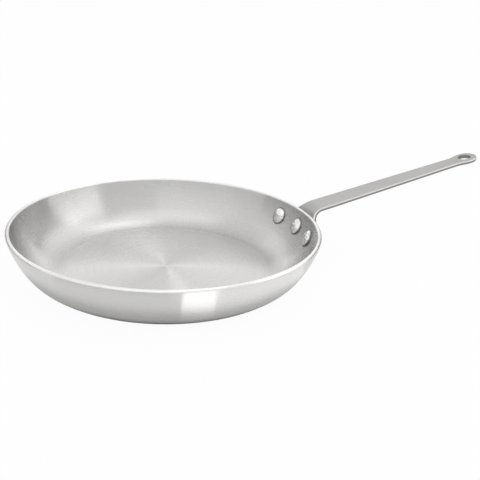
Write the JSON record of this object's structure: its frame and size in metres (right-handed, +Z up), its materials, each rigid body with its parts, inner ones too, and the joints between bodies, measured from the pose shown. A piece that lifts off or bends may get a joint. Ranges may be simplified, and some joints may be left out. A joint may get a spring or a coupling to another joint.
{
  "type": "omelette pan",
  "caption": "Shallow round pan with a flat base, flared sides and a rounded rim, and a riveted flat strap handle that rises to an eye with a round hanging hole.",
  "frame": {"origin": "centre of the flat underside of the base", "axes": "+Z up out of the pan's mouth, +X from the pan's axis along the handle, +Y to the right of a person who holds the handle and faces the pan"},
  "size_m": [0.5148, 0.3048, 0.1005],
  "materials": {
    "pan": "spun, satin",
    "handle": "plated, satin",
    "rivets": "hammered"
  },
  "bodies": {
    "root": {"pan_body": "pan", "handle": "handle", "rivet_left": "rivets", "rivet_centre": "rivets", "rivet_right": "rivets"}
  },
  "joints": []
}
